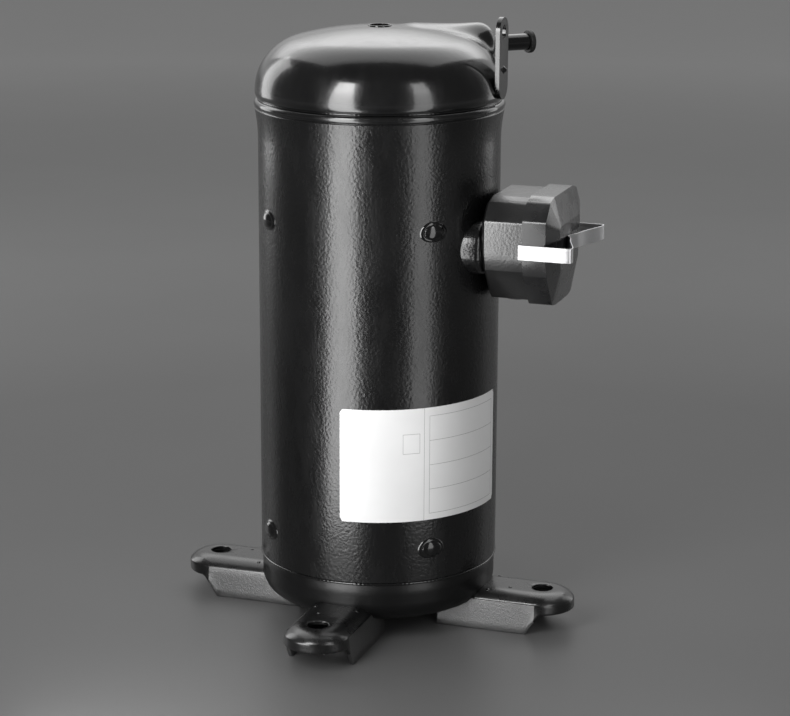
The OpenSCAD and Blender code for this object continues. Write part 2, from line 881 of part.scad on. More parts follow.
// A slot as seen along the axis, shrunk by a margin
module slot(margin) {
    pitch = 360 / slot_count;
    half_in = slot_in * tan(pitch / 2) * 0.52 - margin;
    half_out = (slot_in + slot_len) * tan(pitch / 2) * 0.62 - margin;
    polygon([
        [slot_in + margin, -half_in], [slot_in + slot_len - margin, -half_out],
        [slot_in + slot_len - margin, half_out], [slot_in + margin, half_in]
    ]);
}

module at_slots() {
    for (i = [0 : slot_count - 1])
        rotate(i * 360 / slot_count) children();
}

module stator_core() {
    color("#6f7378") translate([0, 0, stator_z]) linear_extrude(stack_len) difference() {
        intersection() {
            circle(r = bore_r);
            square(2 * (bore_r - flat_cut), center = true);
        }
        circle(r = stator_r);
        at_slots() {
            slot(0);
            translate([stator_r - 2, -slot_mouth / 2]) square([tooth_tip + 3, slot_mouth]);
        }
    }
}

// Rounded section of an end winding
module turn_section() {
    soft = 6;
    w = turn_out - turn_in;
    translate([turn_in, soft]) square([w, end_turn_h - 2 * soft]);
    translate([turn_in + soft, 0]) square([w - 2 * soft, end_turn_h]);
    for (x = [soft, w - soft])
        for (y = [soft, end_turn_h - soft])
            translate([turn_in + x, y]) circle(r = soft);
}

module stator_windings() {
    color("#a5562a") {
        translate([0, 0, stator_top + end_gap]) rotate_extrude() turn_section();
        translate([0, 0, stator_z - end_gap - end_turn_h]) rotate_extrude() turn_section();
        translate([0, 0, stator_z - end_gap - 1]) linear_extrude(stack_len + 2 * end_gap + 2)
            at_slots() slot(slot_fill);
    }
}

module motor_protector() {
    color("#2e2e30") translate([-(turn_in + turn_out) / 2, 0, stator_top + end_gap + end_turn_h]) {
        cylinder(r = 9, h = 6);
        translate([0, 0, 5]) cylinder(r = 6.5, h = 3);
    }
}

module at_bars() {
    for (i = [0 : bar_count - 1])
        rotate(i * 360 / bar_count) translate([bar_circle, 0]) children();
}

module rotor_core() {
    color("#7c8086") translate([0, 0, stator_z]) linear_extrude(stack_len) difference() {
        circle(r = rotor_r);
        circle(r = shaft_r);
        at_bars() circle(r = bar_r);
    }
}

module rotor_cage() {
    ring_in_r = bar_circle - bar_r - 6;
    color("#b9bcc0") {
        ring(ring_in_r, rotor_r - 0.5, stator_top, end_ring_h);
        ring(ring_in_r, rotor_r - 0.5, stator_z - end_ring_h, end_ring_h);
        translate([0, 0, stator_z - 1]) linear_extrude(stack_len + 2) at_bars() circle(r = bar_r);
    }
}

module crankshaft() {
    step_z = low_frame_z + low_hub_h + 2;
    color("#9a9da1") difference() {
        union() {
            translate([0, 0, low_frame_z + rest_gap])
                cylinder(r = low_journal_r, h = step_z - low_frame_z);
            translate([0, 0, step_z - 1]) cylinder(r = shaft_r, h = cavity_z + 3 - step_z);
            translate([orbit, 0, cavity_z]) cylinder(r = crank_pin_r, h = crank_end_z - cavity_z);
        }
        translate([0, 0, low_frame_z - 1]) cylinder(r = pickup_r, h = low_hub_h);
        translate([orbit / 2, 0, low_frame_z]) cylinder(r = oil_bore_r, h = shell_od * 2);
    }
}

// Half ring weights: the upper one faces away from the crank pin, the lower one towards it
module counterweights() {
    inner = shaft_r + 3;
    outer = rotor_r - 2.5;
    color("#6d5c3a") {
        translate([0, 0, stator_top + end_ring_h]) rotate([0, 0, 90])
            rotate_extrude(angle = 180) translate([inner, 0]) square([outer - inner, weight_h]);
        translate([0, 0, stator_z - end_ring_h - weight_h]) rotate([0, 0, -90])
            rotate_extrude(angle = 180) translate([inner, 0]) square([outer - inner, weight_h]);
    }
}

module oil_pickup() {
    nose_h = 8;
    top = low_frame_z + low_hub_h - 4;
    color("#b08d57") difference() {
        union() {
            translate([0, 0, pickup_z + nose_h]) cylinder(r = pickup_r, h = top - pickup_z - nose_h);
            translate([0, 0, pickup_z]) cylinder(r1 = 3.4, r2 = pickup_r, h = nose_h);
        }
        translate([0, 0, pickup_z - eps]) cylinder(r = oil_bore_r, h = shell_od);
        translate([0, 0, pickup_z + nose_h + 4]) cylinder(r = pickup_r - 1.4, h = shell_od);
    }
}

module drive_bush() {
    color("#c2c4c8") translate([orbit, 0, 0])
        ring(crank_pin_r, drive_r, pin_low_z, crank_end_z - 0.5 - pin_low_z);
}

module orbit_bearing() {
    color("#b59a5b") translate([orbit, 0, 0])
        ring(drive_r + running, orbit_bush_r, pin_low_z, crank_end_z - 0.5 - pin_low_z);
}

// Scroll set

// A point on an involute of the base circle: angle in degrees, offset in radians
function involute(p, off) = inv_a * [
    cos(p) + (p * PI / 180 + off) * sin(p),
    sin(p) - (p * PI / 180 + off) * cos(p)
];

module wrap() {
    half = wrap_t / (2 * inv_a);
    step = 6;
    angles = [for (p = [wrap_start : step : wrap_end]) p];
    last = len(angles) - 1;
    polygon(concat(
        [for (p = angles) involute(p, half)],
        [for (i = [last : -1 : 0]) involute(angles[i], -half)]
    ));
}

module orbiting_scroll() {
    pocket_w = key_w + 4 * orbit + 1;
    color("#a9acb1") translate([orbit, 0, 0]) difference() {
        union() {
            translate([0, 0, plate_z]) cylinder(r = orbit_plate_r, h = orbit_plate_t);
            translate([0, 0, pin_low_z]) cylinder(r = hub_r, h = plate_z - pin_low_z + eps);
            translate([0, 0, wrap_z - eps]) linear_extrude(wrap_h + eps) rotate(180) wrap();
        }
        translate([0, 0, pin_low_z - eps]) cylinder(r = orbit_bush_r, h = crank_end_z - pin_low_z + 0.6);
        for (side = [0, 180]) rotate([0, 0, side])
            translate([ring_in - 2 * orbit - 1, -pocket_w / 2, plate_z - eps])
                cube([ring_out, pocket_w, key_h + 1]);
    }
}

module oldham_ring() {
    color("#8e9094") {
        ring(ring_in, ring_out, ring_low, ring_top - ring_low);
        for (side = [0, 180]) {
            rotate([0, 0, side]) translate([key_x - key_len / 2, -key_w / 2, ring_low])
                cube([key_len, key_w, ring_top - ring_low + key_h]);
            rotate([0, 0, side + 90]) translate([key_x - key_len / 2, -key_w / 2, ring_low - key_h])
                cube([key_len, key_w, key_h + 1]);
        }
    }
}

module thrust_plate() {
    color("#7f7a68") ring(cavity_r + 0.2, thrust_out, web_top, thrust_t);
}

module main_bearing() {
    in = shaft_r + running;
    color("#b59a5b") ring(in, in + bush_wall, bearing_low, main_bearing_len);
}

// Four arms on the diagonals, cut to the shell's bore, with blind holes for the plug welds
module arms(z, start) {
    difference() {
        intersection() {
            for (a = [45 : 90 : 315])
                rotate([0, 0, a]) translate([start, -arm_w / 2, z]) cube([bore_r, arm_w, arm_t]);
            translate([0, 0, z]) cylinder(r = bore_r, h = arm_t);
        }
        at_plug_welds() translate([0, 0, bore_r - weld_bite]) cylinder(r = plug_hole_r, h = bore_r);
    }
}

module main_frame() {
    sleeve_in = shaft_r + running + bush_wall;
    color("#63666a") difference() {
        union() {
            rotate_extrude() {
                translate([sleeve_in, bearing_low]) square([sleeve_wall, web_top - bearing_low]);
                translate([sleeve_in, web_z]) square([pocket_r - sleeve_in + 1, web_t]);
                polygon([
                    [sleeve_in, bearing_top - 14], [sleeve_in + sleeve_wall, bearing_top - 14],
                    [cavity_r + 7, bearing_top], [cavity_r + 7, web_top], [sleeve_in, web_top]
                ]);
                translate([pocket_r, rim_low]) square([rim_r - pocket_r, rim_top - rim_low]);
            }
            arms(frame_low_z, pocket_r + 2);
        }
        translate([0, 0, cavity_z]) cylinder(r = cavity_r, h = shell_od);
        for (side = [90, 270]) rotate([0, 0, side])
            translate([key_x - key_len / 2 - orbit - 0.8, -key_w / 2 - running, web_top - key_h])
                cube([key_len + 2 * orbit + 1.6, key_w + 2 * running, key_h + 1]);
        at_scroll_bolts() translate([0, 0, rim_top - bolt_bite - 1])
            cylinder(r = scroll_bolt_r + running, h = shell_od);
    }
}

module at_scroll_bolts() {
    for (i = [0 : bolt_count - 1])
        rotate([0, 0, 15 + i * 360 / bolt_count]) translate([scroll_bolt_circle, 0, 0]) children();
}

module fixed_scroll() {
    intake_w = 34;
    color("#b4b7bc") difference() {
        union() {
            translate([0, 0, fixed_z]) cylinder(r = rim_r, h = fixed_plate_t);
            ring(pocket_r, rim_r, rim_top, fixed_z - rim_top + eps);
            ring(boss_in, boss_out, fixed_top - eps, boss_h);
            ring(port_r, valve_r, fixed_top - eps, seat_h + eps);
            translate([0, 0, fixed_z - wrap_h]) linear_extrude(wrap_h + eps) wrap();
        }
        translate([0, 0, fixed_z - eps]) cylinder(r = port_r, h = fixed_plate_t + seat_h + 2 * eps);
        rotate([0, 0, 135]) translate([pocket_r - 2, -intake_w / 2, rim_top + 2])
            cube([rim_r, intake_w, fixed_z - rim_top - 4]);
        at_scroll_bolts() translate([0, 0, rim_top - 1])
            cylinder(r = scroll_bolt_r + bolt_fit, h = shell_od);
    }
}

module scroll_bolts() {
    head_h = 5;
    head_r = 5;
    color("#3a3b3d") at_scroll_bolts() difference() {
        union() {
            translate([0, 0, rim_top - bolt_bite])
                cylinder(r = scroll_bolt_r, h = fixed_top - rim_top + bolt_bite + 1);
            translate([0, 0, fixed_top]) cylinder(r = head_r, h = head_h);
        }
        translate([0, 0, fixed_top + 2]) cylinder(r = 2.9, h = head_h, $fn = 6);
    }
}

module check_valve_disc() {
    color("#c8cace") translate([0, 0, valve_z]) cylinder(r = valve_r, h = valve_t);
}

module valve_stop() {
    leg_w = 6;
    color("#55575a") difference() {
        union() {
            translate([-stop_span, -leg_w / 2, stop_z]) cube([2 * stop_span, leg_w, stop_t]);
            translate([0, 0, stop_z]) cylinder(r = valve_r - 1, h = stop_t);
            for (side = [-1, 1])
                translate([side * (stop_span - 3), 0, fixed_top])
                    cylinder(r = 4, h = stop_z + stop_t - fixed_top);
        }
        translate([0, 0, stop_z - eps]) cylinder(r = 2.5, h = stop_t + 2 * eps);
    }
}

module separator_plate() {
    collar = 3;
    in = boss_out + running;
    color("#55585c") rotate_extrude() {
        translate([in, separator_z]) square([bore_r - cap_fit - in, separator_t]);
        translate([in, separator_z - collar]) square([collar, collar + separator_t]);
    }
}

// Lower frame and bearing

module lower_frame() {
    bush_out = low_journal_r + running + bush_wall;
    color("#63666a") difference() {
        union() {
            translate([0, 0, low_frame_z]) cylinder(r = low_hub_r, h = low_hub_h);
            difference() {
                arms(low_frame_z, low_hub_r - 4);
                translate([0, 0, low_frame_z + arm_t * 0.62]) 
                    cylinder(r1 = low_cone_in, r2 = low_cone_out, h = arm_t);
            }
        }
        translate([0, 0, low_frame_z - eps]) cylinder(r = bush_out, h = low_hub_h + 2 * eps);
    }
}

module lower_bearing() {
    in = low_journal_r + running;
    color("#b59a5b") ring(in, in + bush_wall, low_frame_z, low_hub_h);
}

module thrust_washer() {
    color("#7f7a68") ring(pickup_r + 1, low_hub_r - 3, low_frame_z - washer_t, washer_t);
}

shell_tube();
top_cap();
bottom_cap();
seam_welds();
frame_plug_welds();
foot_front();
foot_right();
foot_back();
foot_left();
lifting_lug();
sensor_well();
discharge_tube();
discharge_plug();
suction_tube();
suction_plug();
name_label();
terminal_pad();
terminal_fence();
hermetic_terminal();
terminal_pins();
terminal_glass();
earth_screw();
cable_grommet();
cover_gasket();
terminal_cover();
cover_clip();
lead_connector();
motor_leads();
stator_core();
stator_windings();
motor_protector();
rotor_core();
rotor_cage();
crankshaft();
counterweights();
oil_pickup();
drive_bush();
orbit_bearing();
orbiting_scroll();
oldham_ring();
thrust_plate();
main_bearing();
main_frame();
fixed_scroll();
scroll_bolts();
check_valve_disc();
valve_stop();
separator_plate();
lower_frame();
lower_bearing();
thrust_washer();
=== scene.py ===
"""Looks of a hermetic scroll refrigeration compressor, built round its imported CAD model."""

import json
import math

import bmesh
import bpy
from mathutils import Matrix, Vector

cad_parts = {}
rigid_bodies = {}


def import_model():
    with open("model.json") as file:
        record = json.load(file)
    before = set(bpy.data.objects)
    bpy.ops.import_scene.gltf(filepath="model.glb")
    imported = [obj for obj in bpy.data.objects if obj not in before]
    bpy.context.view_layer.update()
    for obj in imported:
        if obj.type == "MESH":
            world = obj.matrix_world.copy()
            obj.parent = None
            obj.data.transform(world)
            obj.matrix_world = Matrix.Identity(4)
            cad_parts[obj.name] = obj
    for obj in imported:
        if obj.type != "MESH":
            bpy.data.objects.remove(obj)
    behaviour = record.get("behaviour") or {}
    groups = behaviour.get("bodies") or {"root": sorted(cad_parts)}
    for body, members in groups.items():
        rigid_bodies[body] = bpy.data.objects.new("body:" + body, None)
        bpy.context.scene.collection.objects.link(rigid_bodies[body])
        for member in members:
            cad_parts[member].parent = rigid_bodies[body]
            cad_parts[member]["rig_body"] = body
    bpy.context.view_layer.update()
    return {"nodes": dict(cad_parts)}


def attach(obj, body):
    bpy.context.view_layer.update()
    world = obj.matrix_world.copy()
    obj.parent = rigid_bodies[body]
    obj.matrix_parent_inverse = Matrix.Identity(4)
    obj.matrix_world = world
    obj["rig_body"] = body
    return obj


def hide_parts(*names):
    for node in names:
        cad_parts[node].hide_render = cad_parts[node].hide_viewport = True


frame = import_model()
nodes = frame["nodes"]
MM = 0.001

# Sizes in mm, as in the CAD model and in its frame: the shell and its ends
SHELL_R = 92.0
BORE_R = 88.4
MOUTH_R = 91.4
SEAM_LOW = 22.4
SEAM_TOP = 378.0
BAND_H = 7.0
BAND_R = 95.0
FLARE_H = 23.5
FLARE_OUT = 2.5
FLOOR = -27.5
DIAGONAL = math.radians(45)

# The caps: each is let into the shell with a small gap
CAP_R = 94.3
CAP_SEAT = 378.8
CAP_SIDE = 383.4
CAP_WALL = 4.0
CAP_GAP = 0.1
CAP_LIP = 371.5
KNUCKLE = 42.0
CROWN = 249.0
KNUCKLE_X = CAP_R - KNUCKLE
CROWN_Z = CAP_SIDE - math.sqrt((CROWN - KNUCKLE) ** 2 - KNUCKLE_X ** 2)
DOME_Z = CROWN_Z + CROWN
LEAN = math.atan2(KNUCKLE_X, CAP_SIDE - CROWN_Z)
WELL_R = 9.0

# The fairing round the discharge tube
DISCHARGE_Z = DOME_Z - 18.7
BULGE_R = 17.0
BULGE_START = 20.0
BULGE_END = 95.0
BULGE_ROUND = 12.0
BULGE_BLEND = 9.0

# The welds: rows, half sizes and height of the plug welds, and radius, height and thickness of
# each seam's bead
PLUG_ROWS = (48.0, 291.2)
PLUG_WIDE = 11.2
PLUG_HIGH = 8.0
PLUG_PROUD = 3.5
SEAM_BEADS = ((SHELL_R - 0.9, SEAM_LOW - 0.8, 1.35), (SHELL_R - 0.3, SEAM_TOP + 0.4, 1.0))

# The feet: a plate with a bolt hole, a flange down each side and a lip round the tip. The tacks
# are given by their place on the foot and the slope under them in degrees.
FOOT_INNER = 57.0
BOLT_R = 134.7
HOLE_R = 8.0
TIP_X = 135.2
FOOT_FLAT = 10.5
FOOT_HALF = 24.5
BEND_R = 18.0
FOOT_T = 3.0
LIP_Z = -11.0
FLANGE_END = 128.5
FLANGE_RISE = 139.0
FLANGE_FLARE = 1.5
TACKS = ((111.2, -8.0, 3.0, 0), (95.5, -16.6, 1.95, -20), (95.5, 16.6, 1.95, 20))
TACK_R = 1.5
TACK_H = 0.75

# The spring clip: its middle height and the distance of its legs from the middle of the box
CLIP_Z = 277.0
CLIP_Y = 48.45
CLIP_HALF_W = 5.5
CLIP_HALF_T = 0.4
CLIP_EDGE = 0.15

# The label: its edges round the shell and up it, and its film
LABEL_START = math.radians(-89)
LABEL_END = math.radians(1)
LABEL_LOW = 71.0
LABEL_TOP = 158.5
LABEL_CORNER = 2.0
LABEL_FACE = SHELL_R + 0.28
LABEL_BACK = SHELL_R + 0.06

# The label's empty fields: sides as shares of its width, then the heights
RULE_HALF = 0.14
DIVIDER = 0.445
TABLE = (0.475, 0.965, 76, 152)
TABLE_ROWS = (95, 114, 133)
SQUARE = (0.33, 0.42, 124, 139)

# The camera, as fitted to the photograph
CAMERA_SPOT = (614.4, -1745.6, 653.6)
CAMERA_TURN = math.radians(19.39)
CAMERA_PITCH = 0.2532
CAMERA_YAW = 0.0067
CAMERA_ROLL = 0.0043
FOCAL_PIXELS = 2466.94
PHOTO_WIDTH = 790
SENSOR = 36.0

# Lights: the azimuth that they are set out from, and how bright they are from low to high
CAMERA_AZIMUTH = 19.4
STRIP = ((0.0, 0.3), (0.05, 0.54), (0.2, 0.56), (0.5, 0.64), (0.62, 0.75), (0.72, 1.0))
CANOPY = ((0.0, 0.1), (0.1, 0.3), (0.2, 0.7), (0.27, 0.95), (0.35, 1.0), (0.5, 0.7), (0.7, 0.55),
          (0.85, 0.5), (1.0, 0.2))

scene = bpy.context.scene


# Mesh helpers

def link(name, mesh, body="housing"):
    """A new object for a mesh, riding on a body."""
    obj = bpy.data.objects.new(name, mesh)
    scene.collection.objects.link(obj)
    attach(obj, body)
    return obj


def mesh_from(name, points, faces):
    """A mesh in metres from points in mm."""
    mesh = bpy.data.meshes.new(name)
    mesh.from_pydata([tuple(c * MM for c in p) for p in points], [], faces)
    mesh.validate()
    return mesh


def smooth(mesh, angle):
    """Smooth shading, with edges sharper than the angle kept crisp."""
    bm = bmesh.new()
    bm.from_mesh(mesh)
    bmesh.ops.recalc_face_normals(bm, faces=bm.faces)
    limit = math.radians(angle)
    for face in bm.faces:
        face.smooth = True
    for edge in bm.edges:
        if len(edge.link_faces) == 2:
            edge.smooth = edge.calc_face_angle(0) < limit
    bm.to_mesh(mesh)
    bm.free()


def arc(cx, cy, radius, start, end, steps):
    """Points on an arc, its angles in degrees."""
    turn = [math.radians(start + (end - start) * i / steps) for i in range(steps + 1)]
    return [(cx + radius * math.cos(t), cy + radius * math.sin(t)) for t in turn]


def grid_faces(rows, columns, start=0, closed_rows=False, closed_columns=True):
    """Quads between the points of a grid, which may close on itself either way."""
    faces = []
    for k in range(rows if closed_rows else rows - 1):
        up = (k + 1) % rows
        for i in range(columns if closed_columns else columns - 1):
            j = (i + 1) % columns
            quad = (k * columns + i, up * columns + i, up * columns + j, k * columns + j)
            faces.append(tuple(start + v for v in quad))
    return faces


def revolve(profile, steps=192, closed=True):
    """Points and faces of an outline of (radius, height) turned round the Z axis."""
    points = []
    for i in range(steps):
        a = math.tau * i / steps
        points += [(r * math.cos(a), r * math.sin(a), z) for r, z in profile]
    return points, grid_faces(steps, len(profile), closed_rows=True, closed_columns=closed)


def bevel(obj, width, segments, angle):
    """Rounds edges sharper than an angle, by a width in mm."""
    mod = obj.modifiers.new("rounded_edges", "BEVEL")
    mod.width = width * MM
    mod.segments = segments
    mod.limit_method = "ANGLE"
    mod.angle_limit = math.radians(angle)
    mod.harden_normals = True


def apply_modifiers(obj):
    """Turns an object's modifiers into mesh."""
    graph = bpy.context.evaluated_depsgraph_get()
    mesh = bpy.data.meshes.new_from_object(obj.evaluated_get(graph))
    obj.modifiers.clear()
    obj.data = mesh


def dress(node, material, width, angle=30):
    """A copy of a CAD node with cleaned faces and rounded edges, which stands for it."""
    mesh = nodes[node].data.copy()
    weld_gap = 0.02 * MM
    flat_angle = math.radians(0.8)
    bm = bmesh.new()
    bm.from_mesh(mesh)
    bmesh.ops.remove_doubles(bm, verts=bm.verts, dist=weld_gap)
    bmesh.ops.dissolve_limit(
        bm, angle_limit=flat_angle, verts=bm.verts, edges=bm.edges, delimit={"NORMAL"}
    )
    bm.to_mesh(mesh)
    bm.free()
    smooth(mesh, angle)
    obj = link(node + "_skin", mesh, nodes[node]["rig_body"])
    bevel(obj, width, 2, angle)
    apply_modifiers(obj)
    paint(obj, material)
    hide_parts(node)


def paint(obj, material):
    """Gives the whole of an object one material."""
    obj.data.materials.clear()
    obj.data.materials.append(material)
    for polygon in obj.data.polygons:
        polygon.material_index = 0


# Rules on the label

def label_place(share):
    """Distance along the label, from its left edge, as the shader measures it."""
    return SHELL_R * (LABEL_START + (LABEL_END - LABEL_START) * share)


def field(left, right, low, top):
    """The four rules round a field, its sides as shares of the label's width."""
    a, b = label_place(left), label_place(right)
    return [
        ("upright", a, low, top), ("upright", b, low, top),
        ("level", low, a, b), ("level", top, a, b),
    ]


LABEL_RULES = [("upright", label_place(DIVIDER), LABEL_LOW, LABEL_TOP)]
LABEL_RULES += field(*TABLE)
LABEL_RULES += [("level", z, label_place(TABLE[0]), label_place(TABLE[1])) for z in TABLE_ROWS]
LABEL_RULES += field(*SQUARE)


# Materials

class Shader:
    """A material's node tree with short ways to add and join nodes."""

    def __init__(self, name, roughness=0.5, metallic=0.0, ior=1.5):
        self.material = bpy.data.materials.new(name)
        self.material.use_nodes = True
        self.tree = self.material.node_tree
        self.shader = self.tree.nodes["Principled BSDF"]
        self.shader.inputs["Roughness"].default_value = roughness
        self.shader.inputs["Metallic"].default_value = metallic
        self.shader.inputs["IOR"].default_value = ior
        self.place = self.add("ShaderNodeTexCoord").outputs["Object"]

    def add(self, kind, **inputs):
        """A new node with its inputs set or joined."""
        node = self.tree.nodes.new(kind)
        for key, value in inputs.items():
            self.feed(node, key.replace("_", " "), value)
        return node

    def feed(self, node, key, value):
        """Joins another node's output to an input, or sets the input to a plain value."""
        socket = node.inputs[int(key)] if key.isdigit() else node.inputs[key]
        if isinstance(value, bpy.types.NodeSocket):
            self.tree.links.new(value, socket)
        else:
            socket.default_value = value

    def set(self, **inputs):
        """Sets or joins inputs of the surface shader."""
        for key, value in inputs.items():
            self.feed(self.shader, key.replace("_", " "), value)

    def noise(self, scale, detail=3.0, roughness=0.55, stretch=None):
        """Noise at a number of grains per metre, stretched along the axes if asked."""
        vector = self.place
        if stretch:
            mapping = self.add("ShaderNodeMapping", Vector=self.place, Scale=stretch)
            vector = mapping.outputs["Vector"]
        node = self.add(
            "ShaderNodeTexNoise", Vector=vector, Scale=scale, Detail=detail, Roughness=roughness
        )
        return node.outputs["Fac"]

    def ramp(self, factor, low, high, first, last):
        """A colour ramp between two colours."""
        node = self.add("ShaderNodeValToRGB", Fac=factor)
        node.color_ramp.elements[0].position = low
        node.color_ramp.elements[1].position = high
        node.color_ramp.elements[0].color = (*first, 1)
        node.color_ramp.elements[1].color = (*last, 1)
        return node.outputs["Color"]

    def scale(self, factor, low, high, start=0.3, end=0.7):
        """A factor brought to a range of values."""
        node = self.add("ShaderNodeMapRange", Value=factor)
        node.inputs["From Min"].default_value = start
        node.inputs["From Max"].default_value = end
        node.inputs["To Min"].default_value = low
        node.inputs["To Max"].default_value = high
        return node.outputs["Result"]

    def math(self, operation, first, second, third=None):
        """A sum or a comparison of two or three factors."""
        node = self.add("ShaderNodeMath")
        node.operation = operation
        self.feed(node, "0", first)
        self.feed(node, "1", second)
        if third is not None:
            self.feed(node, "2", third)
        return node.outputs[0]

    def bump(self, height, distance, normal=None):
        """Bump from a height, its distance in mm, over another bump if one is given."""
        node = self.add("ShaderNodeBump", Height=height, Strength=1.0, Distance=distance * MM)
        if normal is not None:
            self.feed(node, "Normal", normal)
        return node.outputs["Normal"]


def black_paint(name, grain, peel, roughness, coat, gloss=0.5, grit=0.0, ior=1.5):
    """Stoved black gloss paint over steel.

    It has orange peel of a grain per metre and a depth in mm, faint scuffs that stretch upwards,
    a fine unevenness five times as dense, a clear coat and, where asked, grit in mm.
    """
    s = Shader(name, roughness, 0.0, ior)
    dark, light = (0.0022, 0.0022, 0.0023), (0.004, 0.004, 0.0042)
    s.set(Base_Color=s.ramp(s.noise(9, 4), 0.35, 0.7, dark, light))
    scuff = s.noise(55, 6, 0.7, (1, 1, 0.35))
    s.set(Roughness=s.scale(scuff, roughness - 0.05, roughness + 0.09))
    wave = s.noise(grain, 2.0, 0.45)
    fine = s.noise(grain * 5, 2.0, 0.5)
    normal = s.bump(wave, peel)
    if grit:
        normal = s.bump(s.noise(900, 3.0, 0.6), grit, normal)
    s.set(Normal=s.bump(fine, peel * 0.12, normal))
    s.set(Coat_Weight=coat, Coat_Roughness=0.09, Coat_Normal=s.bump(wave, peel * 0.55))
    s.set(Specular_IOR_Level=gloss)
    return s.material


def steel(name, tint, roughness=0.3, stretch=(1, 1, 40), scale=60, dark=0.75):
    """Metal with fine machining or rolling lines."""
    s = Shader(name, roughness, 1.0)
    lines = s.noise(scale, 4, 0.6, stretch)
    low = tuple(c * dark for c in tint)
    s.set(Base_Color=s.ramp(s.noise(35, 4), 0.3, 0.75, low, tint))
    s.set(Roughness=s.scale(lines, roughness * 0.75, roughness * 1.35))
    s.set(Normal=s.bump(lines, 0.02))
    return s.material


def cast_metal(name, tint, roughness):
    """Cast surface with a fine pitted skin."""
    s = Shader(name, roughness, 1.0)
    low = tuple(c * 0.6 for c in tint)
    s.set(Base_Color=s.ramp(s.noise(40, 5), 0.3, 0.75, low, tint))
    s.set(Roughness=s.scale(s.noise(120, 4), roughness - 0.1, roughness + 0.12))
    s.set(Normal=s.bump(s.noise(420, 5, 0.65), 0.15))
    return s.material


def plastic(name, tint, roughness, grain=700, depth=0.05, coat=0.0, gloss=0.5):
    """Moulded plastic or rubber with a fine spark-eroded grain."""
    s = Shader(name, roughness)
    light = tuple(min(1.0, c * 1.35) for c in tint)
    s.set(Base_Color=s.ramp(s.noise(25, 4), 0.35, 0.7, tint, light))
    s.set(Roughness=s.scale(s.noise(60, 4), roughness - 0.06, roughness + 0.08))
    s.set(Normal=s.bump(s.noise(grain, 3), depth))
    s.set(Coat_Weight=coat, Coat_Roughness=0.12, Specular_IOR_Level=gloss)
    return s.material


def copper_wire(name):
    """Varnished winding wire, laid in fine strands round the stack."""
    s = Shader(name, 0.3)
    wave = s.add("ShaderNodeTexWave", Vector=s.place, Scale=160.0, Distortion=3.5, Detail=2.0)
    wave.bands_direction = "DIAGONAL"
    strands = wave.outputs["Fac"]
    s.set(Base_Color=s.ramp(strands, 0.2, 0.8, (0.12, 0.03, 0.012), (0.42, 0.13, 0.045)))
    s.set(Roughness=s.scale(strands, 0.25, 0.42, 0.0, 1.0))
    s.set(Normal=s.bump(strands, 0.5))
    s.set(Coat_Weight=0.4, Coat_Roughness=0.2)
    return s.material


def label_film(name):
    """White label film, bare but for thin printed rules that divide it into generic fields."""
    s = Shader(name, 0.42)
    split = s.add("ShaderNodeSeparateXYZ", Vector=s.place)
    angle = s.math("ARCTAN2", split.outputs["Y"], split.outputs["X"])
    across = s.math("MULTIPLY", angle, SHELL_R * MM)
    height = split.outputs["Z"]
    ink = None
    for kind, at, low, high in LABEL_RULES:
        crossed, other = (across, height) if kind == "upright" else (height, across)
        near = s.math("COMPARE", crossed, at * MM, RULE_HALF * MM)
        above = s.math("GREATER_THAN", other, low * MM)
        below = s.math("LESS_THAN", other, high * MM)
        rule = s.math("MULTIPLY", near, s.math("MULTIPLY", above, below))
        ink = rule if ink is None else s.math("MAXIMUM", ink, rule)
    paper = s.ramp(s.noise(18, 3), 0.3, 0.7, (0.76, 0.76, 0.76), (0.82, 0.82, 0.82))
    mix = s.add("ShaderNodeMix")
    mix.data_type = "RGBA"
    s.feed(mix, "0", s.math("MULTIPLY", ink, 0.8))
    colour_a, colour_b, colour_out = mix.inputs[6], mix.inputs[7], mix.outputs[2]
    s.tree.links.new(paper, colour_a)
    colour_b.default_value = (0.12, 0.12, 0.12, 1)
    s.set(Base_Color=colour_out)
    s.set(Roughness=s.scale(s.noise(90, 3), 0.36, 0.5))
    s.set(Normal=s.bump(s.noise(260, 2), 0.03))
    return s.material


def laminations(name):
    """Edges of stacked electrical steel sheets."""
    s = Shader(name, 0.45, 1.0)
    wave = s.add("ShaderNodeTexWave", Vector=s.place, Scale=320.0, Distortion=0.4)
    wave.bands_direction = "Z"
    sheets = wave.outputs["Fac"]
    s.set(Base_Color=s.ramp(sheets, 0.1, 0.6, (0.07, 0.072, 0.08), (0.3, 0.31, 0.33)))
    s.set(Roughness=s.scale(s.noise(60, 4), 0.38, 0.55))
    s.set(Normal=s.bump(sheets, 0.08))
    return s.material


def sealing_glass(name):
    """Dark green glass fused round the pins."""
    s = Shader(name, 0.12)
    s.set(Base_Color=s.ramp(s.noise(300, 4), 0.3, 0.7, (0.012, 0.03, 0.02), (0.03, 0.07, 0.045)))
    s.set(Roughness=s.scale(s.noise(160, 3), 0.08, 0.2))
    s.set(Normal=s.bump(s.noise(350, 2), 0.05))
    s.set(Coat_Weight=0.6, Coat_Roughness=0.05)
    return s.material


